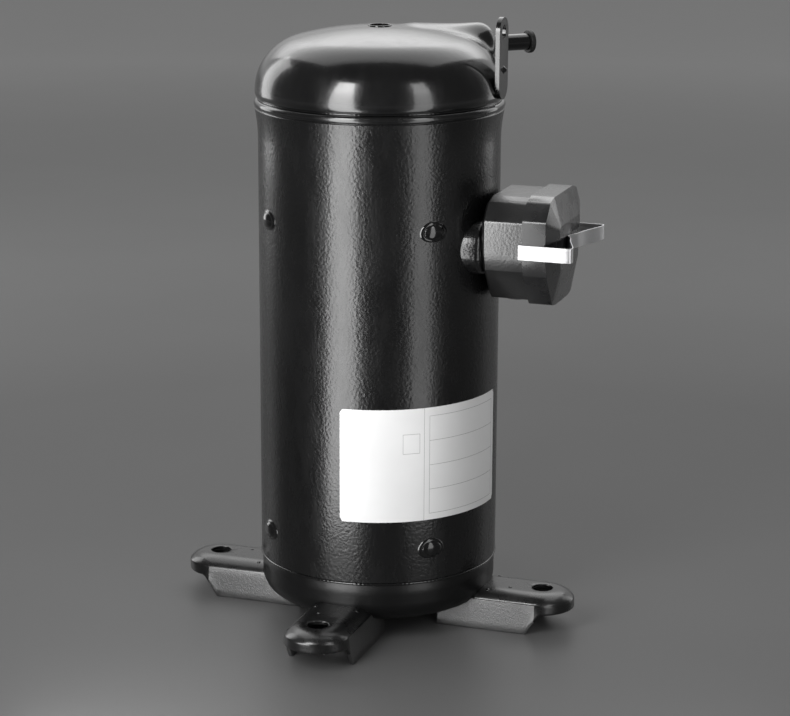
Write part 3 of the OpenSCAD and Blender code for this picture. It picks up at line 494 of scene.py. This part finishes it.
mat = {
    "shell": black_paint("black_gloss_paint", 460, 0.23, 0.25, 0.25, 0.58),
    "cap": black_paint("black_gloss_paint_cap", 280, 0.05, 0.2, 0.6, 0.58),
    "base": black_paint("black_gloss_paint_base", 330, 0.08, 0.34, 0.08, 0.4),
    "feet": black_paint("black_gloss_paint_feet", 500, 0.05, 0.27, 0.3, 0.8),
    "flank": black_paint("black_gloss_paint_flanges", 500, 0.05, 0.4, 0.3, 1.0, 0.3, 2.1),
    "fence": black_paint("black_paint_box", 520, 0.12, 0.32, 0.4, 1.0),
    "cover": plastic("black_moulded_cover", (0.006, 0.006, 0.0065), 0.27, 500, 0.008, 0.5, 1.0),
    "rubber": plastic("black_rubber", (0.012, 0.012, 0.012), 0.5, 600, 0.06),
    "weld": black_paint("painted_weld", 300, 0.08, 0.12, 0.6),
    "label": label_film("label_film"),
    "spring": steel("bright_spring_steel", (0.86, 0.86, 0.87), 0.4, (1, 40, 40), 30, 0.9),
    "plated": steel("zinc_plated_steel", (0.62, 0.62, 0.6), 0.32, (1, 1, 1), 200),
    "brass": steel("turned_brass", (0.62, 0.46, 0.2), 0.28),
    "glass": sealing_glass("sealing_glass"),
    "ivory": plastic("ivory_connector", (0.6, 0.55, 0.42), 0.45),
    "lead": plastic("red_lead_insulation", (0.26, 0.03, 0.022), 0.42, 900, 0.03),
    "stack": laminations("electrical_steel_stack"),
    "copper": copper_wire("enamelled_copper"),
    "aluminium": cast_metal("cast_aluminium", (0.66, 0.67, 0.69), 0.42),
    "ground": steel("ground_steel", (0.5, 0.51, 0.52), 0.25, (1, 1, 30), 80),
    "iron": cast_metal("grey_iron", (0.2, 0.2, 0.205), 0.55),
}

NODE_MATERIALS = {
    "ground": ["crankshaft", "oil_pickup", "drive_bush", "thrust_plate", "scroll_bolts",
               "check_valve_disc", "valve_stop", "separator_plate"],
    "brass": ["counterweights", "orbit_bearing", "main_bearing", "lower_bearing", "thrust_washer",
              "terminal_pins"],
    "iron": ["main_frame", "fixed_scroll", "lower_frame"],
    "aluminium": ["orbiting_scroll", "oldham_ring", "rotor_cage"],
    "stack": ["stator_core", "rotor_core"],
    "copper": ["stator_windings"],
    "lead": ["motor_leads"],
    "ivory": ["lead_connector"],
    "glass": ["terminal_glass"],
    "plated": ["hermetic_terminal", "earth_screw"],
    "rubber": ["motor_protector", "cable_grommet", "cover_gasket", "discharge_plug", "suction_plug"],
    "base": ["bottom_cap"],
    "cap": ["top_cap", "seam_welds", "lifting_lug", "sensor_well", "discharge_tube",
            "suction_tube"],
    "shell": ["shell_tube", "terminal_pad"],
    "fence": ["terminal_fence"],
    "cover": ["terminal_cover"],
    "weld": ["frame_plug_welds"],
    "feet": ["foot_front", "foot_right", "foot_back", "foot_left"],
    "label": ["name_label"],
    "spring": ["cover_clip"],
}
for key, names in NODE_MATERIALS.items():
    for node_name in names:
        paint(nodes[node_name], mat[key])


# Shell, caps and seams

def make_shell():
    """The tube: its straight wall, the flare, the round band and the thin mouth."""
    band_z = SEAM_TOP - BAND_H
    edge, middle_z, steps = 0.6, 200.0, 16
    outer = [(SHELL_R - edge, SEAM_LOW), (SHELL_R, SEAM_LOW + edge), (SHELL_R, middle_z)]
    for i in range(steps + 1):
        share = i / steps
        outer.append((SHELL_R + FLARE_OUT * share ** 2, band_z - FLARE_H * (1 - share)))
    groove = [(SHELL_R + 2.1, band_z + 0.35), (SHELL_R + 1.9, band_z + 0.8)]
    band = arc(BAND_R - BAND_H / 2, band_z + BAND_H / 2, BAND_H / 2, -44, 70, 14)
    inner = [(MOUTH_R, SEAM_TOP), (MOUTH_R, band_z), (BORE_R, band_z - FLARE_H), (BORE_R, SEAM_LOW)]
    points, faces = revolve(outer + groove + band + inner)
    obj = link("shell_skin", mesh_from("shell_skin", points, faces))
    smooth(obj.data, 40)
    paint(obj, mat["shell"])
    obj.data.materials.append(mat["cap"])
    glossy_from = (band_z + 0.4) * MM
    for polygon in obj.data.polygons:
        polygon.material_index = int(polygon.center.z > glossy_from)
    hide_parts("shell_tube")


def soft_union(a, b, width):
    """Smooth union of two signed distances."""
    h = max(width - abs(a - b), 0.0) / width
    return min(a, b) - h * h * width * 0.25


def dome_distance(p):
    """Signed distance from the plain dome of the top cap, above its side."""
    r = math.hypot(p[0], p[1])
    if math.atan2(r, p[2] - CROWN_Z) <= LEAN:
        return math.hypot(r, p[2] - CROWN_Z) - CROWN
    return math.hypot(r - KNUCKLE_X, p[2] - CAP_SIDE) - KNUCKLE


def bulge_distance(p):
    """Signed distance from the rounded end of the fairing round the discharge tube."""
    x = p[0] * math.cos(DIAGONAL) + p[1] * math.sin(DIAGONAL)
    y = -p[0] * math.sin(DIAGONAL) + p[1] * math.cos(DIAGONAL)
    radial = math.hypot(y, p[2] - DISCHARGE_Z) - (BULGE_R - BULGE_ROUND)
    end = max(x - (BULGE_END - BULGE_ROUND), BULGE_START + BULGE_ROUND - x)
    outside = math.hypot(max(radial, 0.0), max(end, 0.0))
    return outside + min(max(radial, end), 0.0) - BULGE_ROUND


def cap_surface(centre, way):
    """The point where a ray from inside leaves the top cap, found by halving."""
    near, far, halvings = 30.0, 130.0, 26
    for _ in range(halvings):
        middle = (near + far) / 2
        p = centre + way * middle
        if soft_union(dome_distance(p), bulge_distance(p), BULGE_BLEND) < 0:
            near = middle
        else:
            far = middle
    return tuple(centre + way * near)


def make_top_cap():
    """The pressed cap: dome and fairing flow into each other, and it curls in to the seam."""
    around, rings = 288, 84
    turns = [math.tau * i / around for i in range(around)]
    centre = Vector((0, 0, CAP_SIDE))
    first = math.atan2(WELL_R, DOME_Z - CAP_SIDE)
    points = []
    for k in range(rings + 1):
        tilt = first + (math.pi / 2 - first) * k / rings
        out, up = math.sin(tilt), math.cos(tilt)
        points += [cap_surface(centre, Vector((out * math.cos(a), out * math.sin(a), up)))
                   for a in turns]
    inside = MOUTH_R - CAP_GAP
    skirt = [(CAP_R - 0.5 * t, CAP_SIDE - h) for t, h in ((0.3, 1.2), (1.2, 2.6), (2.6, 3.8))]
    skirt += [(SHELL_R + 0.6, CAP_SEAT + 0.1), (inside, CAP_SEAT), (inside, CAP_LIP)]
    skirt += [(inside - CAP_WALL, CAP_LIP), (inside - CAP_WALL, CAP_SIDE)]
    for r, z in skirt:
        points += [(r * math.cos(a), r * math.sin(a), z) for a in turns]
    faces = grid_faces(rings + 1 + len(skirt), around)
    obj = link("top_cap_skin", mesh_from("top_cap_skin", points, faces))
    smooth(obj.data, 50)
    paint(obj, mat["cap"])
    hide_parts("top_cap")


def make_bottom_cap():
    """The dished bottom, which tucks up into the shell."""
    crown, knuckle, side, pinhole = 200.0, 16.0, 91.0, 0.2
    side_z, seat_z, lip_z = 12.0, SEAM_LOW - 1.6, 34.0
    inside = BORE_R - CAP_GAP
    crown_z = FLOOR + 1 + crown
    knuckle_x = side - knuckle
    knuckle_z = crown_z - math.sqrt((crown - knuckle) ** 2 - knuckle_x ** 2)
    lean = math.degrees(math.atan2(crown_z - knuckle_z, knuckle_x))
    outline = arc(0, crown_z, crown, -90, -lean, 20)
    outline[0] = (pinhole, outline[0][1])
    outline += arc(knuckle_x, knuckle_z, knuckle, -lean, 0, 20)[1:]
    outline += [(side, side_z), (side, seat_z - 0.6), (side - 0.5, seat_z)]
    outline += [(inside, seat_z), (inside, lip_z), (inside - CAP_WALL, lip_z)]
    points, faces = revolve(outline, closed=False)
    obj = link("bottom_cap_skin", mesh_from("bottom_cap_skin", points, faces))
    smooth(obj.data, 40)
    paint(obj, mat["base"])
    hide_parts("bottom_cap")


def make_seams():
    """The weld beads of both seams, with the fine ripple that a turned weld leaves."""
    points, faces = [], []
    around, sides, ripples, waves, flatness = 720, 12, 180, 7, 0.75
    for bead, (r, z, fat) in enumerate(SEAM_BEADS):
        faces += grid_faces(around, sides, len(points), closed_rows=True)
        for i in range(around):
            a = math.tau * i / around
            ripple = 1 + 0.05 * math.sin(a * ripples) + 0.04 * math.sin(a * waves + bead)
            for k in range(sides):
                b = math.tau * k / sides
                reach = r + fat * ripple * math.cos(b)
                up = fat * flatness * math.sin(b)
                points.append((reach * math.cos(a), reach * math.sin(a), z + up))
    obj = link("seam_beads", mesh_from("seam_beads", points, faces))
    smooth(obj.data, 60)
    paint(obj, mat["weld"])
    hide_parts("seam_welds")


make_shell()
make_top_cap()
make_bottom_cap()
make_seams()


# Feet

def foot_bottom(x):
    """Height of a flange's lower edge at a distance from the shell's axis."""
    if x <= FLANGE_END:
        return FLOOR
    if x >= FLANGE_RISE:
        return LIP_Z
    return FLOOR + (LIP_Z - FLOOR) * (x - FLANGE_END) / (FLANGE_RISE - FLANGE_END)


def foot_mesh():
    """One stamped foot along +X, as an outer sheet with a hole, still without its thickness."""
    bend = math.degrees(math.acos((FOOT_HALF - FOOT_FLAT) / BEND_R))
    section = arc(FOOT_FLAT, FOOT_T - BEND_R, BEND_R, 90, bend, 8)
    drops = (0.25, 0.5, 0.75, 1.0)
    path = [(FOOT_INNER + (FLANGE_END - 4 - FOOT_INNER) * i / 8, 90.0) for i in range(9)]
    path += [(x, 90.0) for x in (FLANGE_END, FLANGE_END + 2.2, FLANGE_END + 4.4, TIP_X)]
    straight = path[:-1]
    path += [(TIP_X, 90 - 180 * i / 28) for i in range(1, 29)]
    path += [(x, -90.0) for x, _ in reversed(straight)]
    bm = bmesh.new()
    columns = []
    for x, turn in path:
        c, s = math.cos(math.radians(turn)), math.sin(math.radians(turn))
        column = [bm.verts.new(Vector((x + o * c, o * s, z)) * MM) for o, z in section]
        top = section[-1][1]
        low = foot_bottom(x + FOOT_HALF * c)
        for d in drops:
            out = FOOT_HALF + FLANGE_FLARE * d * s ** 4
            column.append(bm.verts.new(Vector((x + out * c, out * s, top + (low - top) * d)) * MM))
        columns.append(column)
    for a, b in zip(columns, columns[1:]):
        for k in range(len(a) - 1):
            bm.faces.new((a[k], a[k + 1], b[k + 1], b[k]))
    rim = [column[0] for column in columns]
    circle = arc(BOLT_R, 0, HOLE_R, 0, 360, 48)[:-1]
    hole = [bm.verts.new(Vector((x, y, FOOT_T)) * MM) for x, y in circle]
    edges = [bm.edges.get((p, q)) or bm.edges.new((p, q)) for p, q in zip(rim, rim[1:])]
    edges.append(bm.edges.new((rim[-1], rim[0])))
    edges += [bm.edges.new((p, q)) for p, q in zip(hole, hole[1:] + hole[:1])]
    bmesh.ops.triangle_fill(bm, use_beauty=True, edges=edges)
    bmesh.ops.recalc_face_normals(bm, faces=bm.faces)
    mesh = bpy.data.meshes.new("foot_sheet")
    bm.to_mesh(mesh)
    bm.free()
    return mesh


def make_feet():
    """Four stamped feet: sheet of even thickness, soft bends and rounded cut edges."""
    flank_y, flank_z, flank_x = 20 * MM, -3.8 * MM, TIP_X * MM
    for name, turn in (("right", 0), ("back", 90), ("left", 180), ("front", 270)):
        mesh = foot_mesh()
        flanks = [abs(p.center.y) > flank_y and p.center.z < flank_z and p.center.x < flank_x
                  for p in mesh.polygons]
        mesh.transform(Matrix.Rotation(math.radians(turn), 4, "Z"))
        obj = link("foot_" + name + "_skin", mesh)
        sheet = obj.modifiers.new("sheet", "SOLIDIFY")
        sheet.thickness = FOOT_T * MM
        sheet.offset = -1
        sheet.use_even_offset = True
        bevel(obj, 0.7, 3, 30)
        paint(obj, mat["feet"])
        mesh.materials.append(mat["flank"])
        for polygon, flank in zip(mesh.polygons, flanks):
            polygon.material_index = int(flank)
        apply_modifiers(obj)
        smooth(obj.data, 30)
        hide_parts("foot_" + name)


def make_foot_marks():
    """Three small beads on each foot, where it was tacked to the bottom cap."""
    points, faces = [], []
    around, rows, pinhole, sunk = 16, 4, 0.02, 0.05
    for turn in (0, 90, 180, 270):
        spin = Matrix.Rotation(math.radians(turn), 3, "Z")
        for x, y, z, tilt in TACKS:
            faces += grid_faces(rows + 1, around, len(points))
            lean = Matrix.Rotation(math.radians(-tilt), 3, "X")
            for k in range(rows + 1):
                a = math.pi / 2 * k / rows
                r, h = TACK_R * math.cos(a) + pinhole, TACK_H * math.sin(a) - sunk
                for i in range(around):
                    b = math.tau * i / around
                    p = lean @ Vector((r * math.cos(b), r * math.sin(b), h))
                    points.append(tuple(spin @ (Vector((x, y, z)) + p)))
    obj = link("foot_tack_beads", mesh_from("foot_tack_beads", points, faces))
    smooth(obj.data, 60)
    paint(obj, mat["weld"])


make_feet()
make_foot_marks()


# Lug, tubes, plugs, welds and label

def make_plug_welds():
    """Eight plug welds: broad low lozenges of weld metal with a worked rim and a rounded crown."""
    points, faces = [], []
    around, sunk, ring_at, ring_half, ring_deep, unevenness = 48, 0.2, 0.74, 0.07, 0.5, 0.035
    shares = (0.02, 0.15, 0.3, 0.42, 0.52, 0.6, 0.66, 0.7, 0.74, 0.78, 0.83, 0.88, 0.93, 0.97, 1.0)
    profile = [(share, PLUG_PROUD * (1 - share ** 2.2) ** 0.8
                - ring_deep * math.exp(-((share - ring_at) / ring_half) ** 2)) for share in shares]
    for z in PLUG_ROWS:
        for q in range(4):
            a = DIAGONAL + q * math.pi / 2
            out, side = Vector((math.cos(a), math.sin(a), 0)), Vector((-math.sin(a), math.cos(a), 0))
            start = len(points)
            for share, h in profile:
                for i in range(around):
                    b = math.tau * i / around
                    spread = share * (1 + unevenness * math.sin(3 * b + q) * share)
                    y, up = PLUG_WIDE * spread * math.cos(b), PLUG_HIGH * spread * math.sin(b)
                    wall = math.sqrt(SHELL_R ** 2 - y ** 2)
                    points.append(tuple(out * (wall - sunk + h) + side * y + Vector((0, 0, z + up))))
            faces += grid_faces(len(profile), around, start)
            faces.append(tuple(start + i for i in range(around)))
    obj = link("plug_weld_domes", mesh_from("plug_weld_domes", points, faces))
    smooth(obj.data, 60)
    paint(obj, mat["weld"])
    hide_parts("frame_plug_welds")


def make_label():
    """The label: a thin film with rounded corners that follows the shell."""
    rows, columns = 30, 90
    points, faces = [], []
    for r in (LABEL_FACE, LABEL_BACK):
        for k in range(rows + 1):
            z = LABEL_LOW + (LABEL_TOP - LABEL_LOW) * k / rows
            into_corner = max(LABEL_CORNER - min(z - LABEL_LOW, LABEL_TOP - z), 0)
            cut = LABEL_CORNER - math.sqrt(LABEL_CORNER ** 2 - into_corner ** 2)
            left, right = LABEL_START + cut / SHELL_R, LABEL_END - cut / SHELL_R
            for i in range(columns + 1):
                a = left + (right - left) * i / columns
                points.append((r * math.cos(a), r * math.sin(a), z))
    n = columns + 1
    back = n * (rows + 1)
    for k in range(rows):
        for i in range(columns):
            quad = (k * n + i, k * n + i + 1, (k + 1) * n + i + 1, (k + 1) * n + i)
            faces += [quad, tuple(back + v for v in reversed(quad))]
    border = list(range(columns)) + [k * n + columns for k in range(rows)]
    border += [rows * n + i for i in range(columns, 0, -1)] + [k * n for k in range(rows, 0, -1)]
    for a, b in zip(border, border[1:] + border[:1]):
        faces.append((b, a, back + a, back + b))
    obj = link("label_sheet", mesh_from("label_sheet", points, faces))
    smooth(obj.data, 40)
    paint(obj, mat["label"])
    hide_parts("name_label")


make_plug_welds()
make_label()
dress("lifting_lug", mat["cap"], 0.5)
dress("sensor_well", mat["cap"], 0.4)
dress("discharge_tube", mat["cap"], 0.3)
dress("suction_tube", mat["cap"], 0.3)
dress("discharge_plug", mat["rubber"], 0.6)
dress("suction_plug", mat["rubber"], 0.6)


# Terminal box

def b_spline(control, steps=8):
    """Points on a smooth curve that is led by control points."""
    path = []
    for k in range(len(control) - 3):
        a, b, c, d = (Vector(q) for q in control[k:k + 4])
        for t in (i / steps for i in range(steps)):
            path.append((a * (1 - t) ** 3 + b * (3 * t ** 3 - 6 * t ** 2 + 4)
                         + c * (-3 * t ** 3 + 3 * t ** 2 + 3 * t + 1) + d * t ** 3) / 6)
    return path


def make_clip():
    """The spring clip: one strap along a smooth path, from the far leg round to the near one."""
    leg, end_x, shortest = CLIP_Y, 124.6, 0.02
    half = [(end_x, leg), (end_x, leg), (end_x, leg), (140, leg), (156, leg), (161.3, leg),
            (164.4, leg - 0.3), (164.7, leg - 3.6), (163.4, leg - 9), (160.4, leg - 17),
            (156.4, leg - 27), (154.6, 13), (153, 7), (149.7, 3.6)]
    path = b_spline(half + [(149.1, 0)] + [(x, -y) for x, y in reversed(half)])
    path = [q for k, q in enumerate(path) if k == 0 or (q - path[k - 1]).length > shortest]
    wide, thick = CLIP_HALF_W, CLIP_HALF_T
    wide_in, thick_in = wide - CLIP_EDGE, thick - CLIP_EDGE
    section = ((-wide, -thick_in), (-wide_in, -thick), (wide_in, -thick), (wide, -thick_in),
               (wide, thick_in), (wide_in, thick), (-wide_in, thick), (-wide, thick_in))
    n = len(section)
    points = []
    for k, q in enumerate(path):
        way = path[min(k + 1, len(path) - 1)] - path[max(k - 1, 0)]
        side = Vector((-way.y, way.x)).normalized()
        points += [(q.x + side.x * o, q.y + side.y * o, CLIP_Z + h) for h, o in section]
    faces = grid_faces(len(path), n)
    faces.append(tuple(range(n)))
    faces.append(tuple(range(len(points) - n, len(points))))
    mesh = mesh_from("cover_clip_skin", points, faces)
    obj = link("cover_clip_skin", mesh, nodes["cover_clip"]["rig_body"])
    smooth(obj.data, 30)
    paint(obj, mat["spring"])
    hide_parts("cover_clip")


dress("terminal_pad", mat["shell"], 0.4)
dress("terminal_fence", mat["fence"], 0.8)
dress("terminal_cover", mat["cover"], 0.7, 12)
make_clip()
dress("cover_gasket", mat["rubber"], 0.3)
dress("cable_grommet", mat["rubber"], 0.4)
dress("earth_screw", mat["plated"], 0.25)
dress("hermetic_terminal", mat["plated"], 0.4)
dress("terminal_pins", mat["brass"], 0.4)


# Floor, lights and camera

def make_stage():
    """A plain floor and backdrop that meet in a wide curve, in metres.

    The floor gets paler, rougher and brighter with the distance from the object.
    """
    s = Shader("pale_floor")
    spot = s.add("ShaderNodeSeparateXYZ", Vector=s.place)
    away = s.add("ShaderNodeVectorMath", Vector=s.place)
    away.operation = "LENGTH"
    away = away.outputs["Value"]
    tone = s.scale(away, 0.115, 0.36, 0.7, 3.3)
    mottle = s.scale(s.noise(3, 3), 0.97, 1.03)
    s.set(Base_Color=s.math("MULTIPLY", tone, mottle))
    s.set(Roughness=s.scale(away, 0.42, 0.6, 0.3, 1.0), Specular_IOR_Level=0.28)
    s.set(Normal=s.bump(s.noise(900, 2), 0.01))
    # Painted light: for camera, reflected and transmitted rays only, the floor glows more with its
    # distance from the object and the backdrop more with its height.
    rays = s.add("ShaderNodeLightPath")
    seen = s.math("MAXIMUM", rays.outputs["Is Camera Ray"], rays.outputs["Is Glossy Ray"])
    seen = s.math("MAXIMUM", seen, rays.outputs["Is Transmission Ray"])
    floor_glow = s.scale(away, 0.0, 0.13, 0.3, 3.2)
    wall_glow = s.scale(spot.outputs["Z"], 0.0, 0.4, 0.3, 1.0)
    glow = s.math("MULTIPLY", seen, s.math("ADD", floor_glow, wall_glow))
    s.set(Emission_Color=(1, 1, 1, 1), Emission_Strength=glow)
    floor_z = FLOOR * MM
    half_width, front, back, radius, height = 6.0, -7.0, 3.2, 1.5, 4.0
    outline = [(front, floor_z), (back, floor_z)]
    outline += arc(back, floor_z + radius, radius, -90, 0, 16)[1:]
    outline.append((back + radius, floor_z + height))
    points = []
    for y, z in outline:
        points += [(-half_width, y, z), (half_width, y, z)]
    faces = [(2 * k, 2 * k + 1, 2 * k + 3, 2 * k + 2) for k in range(len(outline) - 1)]
    mesh = bpy.data.meshes.new("studio_floor")
    mesh.from_pydata(points, [], faces)
    for polygon in mesh.polygons:
        polygon.use_smooth = True
    obj = bpy.data.objects.new("studio_floor", mesh)
    scene.collection.objects.link(obj)
    obj.rotation_euler = (0, 0, math.radians(CAMERA_AZIMUTH))
    mesh.materials.append(s.material)


def soft_light(name, turn, distance, height, size, power, aim, grade=None):
    """A soft box, in metres and watts, graded from its low edge to its high one if asked.

    Its turn is in degrees from the camera's azimuth, positive to the camera's right, and it
    points at the height aim on the Z axis.
    """
    light = bpy.data.lights.new(name, "AREA")
    light.shape = "RECTANGLE"
    light.size, light.size_y = size
    light.energy = power
    if grade:
        light.use_nodes = True
        tree = light.node_tree
        spot = tree.nodes.new("ShaderNodeNewGeometry")
        split = tree.nodes.new("ShaderNodeSeparateXYZ")
        ramp = tree.nodes.new("ShaderNodeValToRGB")
        while len(ramp.color_ramp.elements) < len(grade):
            ramp.color_ramp.elements.new(0.5)
        for element, (at, level) in zip(ramp.color_ramp.elements, grade):
            element.position = at
            element.color = (level, level, level, 1)
        tree.links.new(spot.outputs["Parametric"], split.inputs[0])
        tree.links.new(split.outputs["Y"], ramp.inputs[0])
        tree.links.new(ramp.outputs["Color"], tree.nodes["Emission"].inputs["Strength"])
    obj = bpy.data.objects.new(name, light)
    scene.collection.objects.link(obj)
    a = math.radians(CAMERA_AZIMUTH + turn)
    obj.location = (distance * math.sin(a), -distance * math.cos(a), height)
    way = Vector((0, 0, aim)) - obj.location
    obj.rotation_euler = way.to_track_quat("-Z", "Y").to_euler()


def make_world():
    """A dim even grey all round."""
    world = bpy.data.worlds.new("studio")
    world.use_nodes = True
    background = world.node_tree.nodes["Background"]
    background.inputs["Color"].default_value = (0.5, 0.5, 0.5, 1)
    background.inputs["Strength"].default_value = 0.2
    scene.world = world


def make_camera():
    """The camera that was fitted to the photograph."""
    level = math.cos(CAMERA_PITCH)
    look = Vector((math.sin(CAMERA_YAW) * level, math.cos(CAMERA_YAW) * level, -math.sin(CAMERA_PITCH)))
    right = look.cross(Vector((0, 0, 1))).normalized()
    up = right.cross(look)
    c, s = math.cos(CAMERA_ROLL), math.sin(CAMERA_ROLL)
    right, up = right * c + up * s, up * c - right * s
    around = Matrix.Rotation(CAMERA_TURN, 3, "Z")
    look, right, up = around @ look, around @ right, around @ up
    data = bpy.data.cameras.new("camera")
    data.sensor_fit = "HORIZONTAL"
    data.sensor_width = SENSOR
    data.lens = FOCAL_PIXELS / PHOTO_WIDTH * SENSOR
    data.clip_start, data.clip_end = 0.05, 50
    obj = bpy.data.objects.new("camera", data)
    scene.collection.objects.link(obj)
    axes = Matrix((right, up, -look)).transposed().to_4x4()
    obj.matrix_world = Matrix.Translation(Vector(CAMERA_SPOT) * MM) @ axes
    scene.camera = obj


make_stage()
soft_light("left_box", -31.5, 0.48, 0.4, (0.18, 0.89), 5.7, 0.535, STRIP)
soft_light("right_box", 36.5, 0.51, 0.4, (0.145, 0.89), 1.45, 0.535, STRIP)
soft_light("canopy", 180, 0.7, 1.35, (1.9, 1.94), 25, 0.3, CANOPY)
soft_light("left_rim", -125, 1.6, 0.7, (0.6, 1.4), 6.5, 0.25)
soft_light("right_rim", 124, 1.6, 0.7, (0.5, 1.4), 2.6, 0.25)
make_world()
make_camera()
scene.view_settings.view_transform = "Standard"
bpy.context.view_layer.update()
